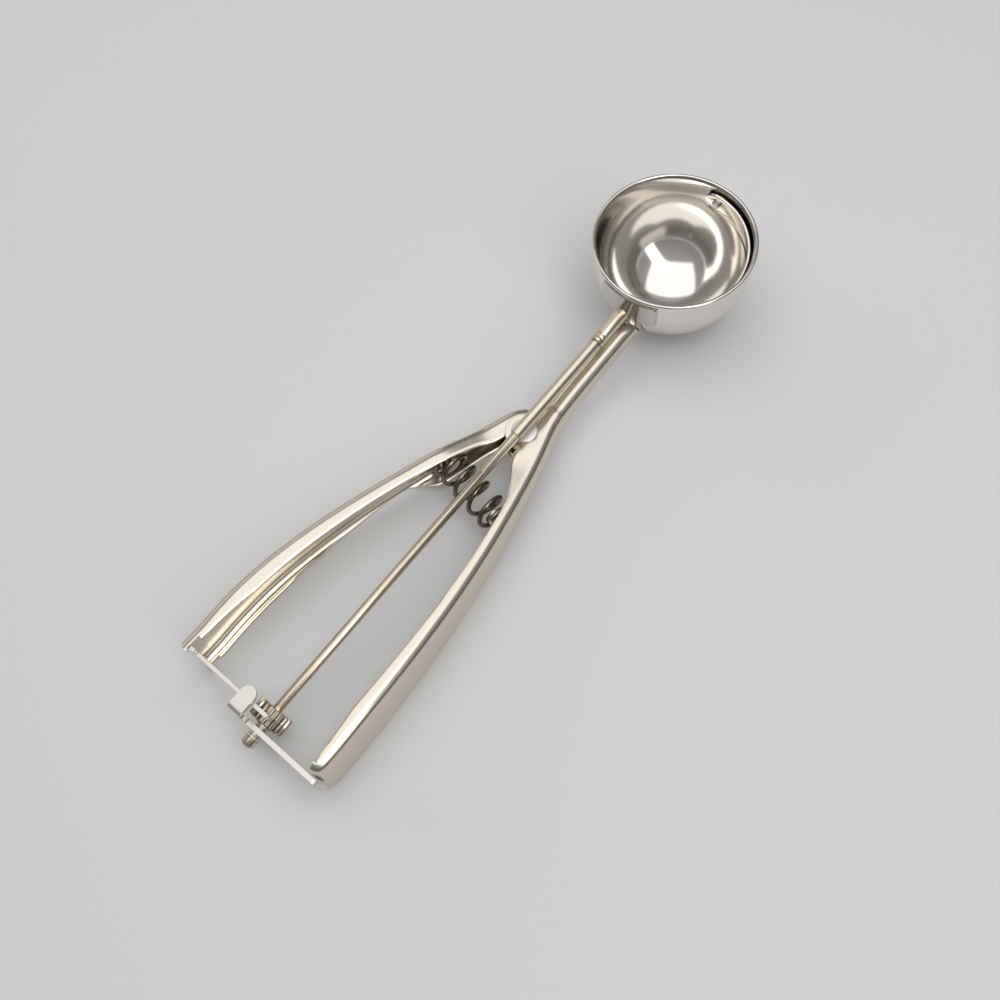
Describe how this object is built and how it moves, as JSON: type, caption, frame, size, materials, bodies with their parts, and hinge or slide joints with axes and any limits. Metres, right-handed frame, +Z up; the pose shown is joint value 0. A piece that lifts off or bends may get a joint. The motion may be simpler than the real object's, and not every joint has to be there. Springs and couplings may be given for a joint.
{
  "type": "squeeze ice cream scoop",
  "caption": "Squeeze-handle ice cream scoop: a sprung lever drives a rack and pinion that turn a scraper blade inside the bowl.",
  "frame": {"origin": "under the middle of the tool, on the plane it lies on: the bowl's lowest point and the handles' lower flanges rest at z = 0", "axes": "+Y along the tool from the rack to the bowl, +Z up out of the bowl's mouth, +X from the lever handle to the fixed handle"},
  "size_m": [0.059, 0.2265, 0.0335],
  "materials": {
    "bowl_mirror": "mirror polished",
    "saddle_mirror": "mirror polished",
    "pin_steel": "polished",
    "blade_mirror": "mirror polished",
    "shaft_satin": "satin",
    "sleeve_satin": "satin",
    "collar_satin": "polished",
    "pinion_steel": "polished",
    "ring_steel": "satin",
    "rack_steel": "satin",
    "bar_steel": "satin",
    "handle_satin": "satin",
    "lever_satin": "satin",
    "rivet_steel": "satin",
    "spacer_steel": "satin",
    "spring_steel": "polished dark wire",
    "peg_steel": "satin",
    "fixed_peg_steel": "satin"
  },
  "bodies": {
    "frame": {"fixed_handle": "handle_satin", "bowl": "bowl_mirror", "bowl_saddle": "saddle_mirror", "far_pivot_pin": "pin_steel", "pivot_rivet": "rivet_steel", "pivot_spacer": "spacer_steel", "support_bar": "bar_steel", "fixed_spring_peg": "fixed_peg_steel", "return_spring": "spring_steel"},
    "lever": {"lever_handle": "lever_satin", "lever_spring_peg": "peg_steel"},
    "rack": {"rack": "rack_steel"},
    "scraper": {"shaft": "shaft_satin", "shaft_sleeve": "sleeve_satin", "thrust_collar": "collar_satin", "scraper_blade": "blade_mirror", "pinion": "pinion_steel", "retaining_ring": "ring_steel"}
  },
  "joints": [
    {"name": "lever_pivot", "type": "hinge", "parent": "frame", "child": "lever", "pos_m": [0.00337, 0.01136, 0.0104], "axis": [0, 0, 1], "range_deg": [0, 7.9], "stiffness_Nm_per_rad": 0.6, "springref_deg": -8.59, "deforming": ["return_spring"]},
    {"name": "rack_slide", "type": "slide", "parent": "frame", "child": "rack", "axis": [1, 0, 0], "range_m": [0, 0.01566]},
    {"name": "shaft_spin", "type": "hinge", "parent": "frame", "child": "scraper", "pos_m": [0.00337, 0.08636, 0.0255], "axis": [0, 0.9968, 0.0795], "range_deg": [0, 176]}
  ],
  "couplings": [
    {"joint": "rack_slide", "follows": "lever_pivot", "m_per_rad": 0.11321},
    {"joint": "shaft_spin", "follows": "lever_pivot", "ratio": 22.155}
  ]
}
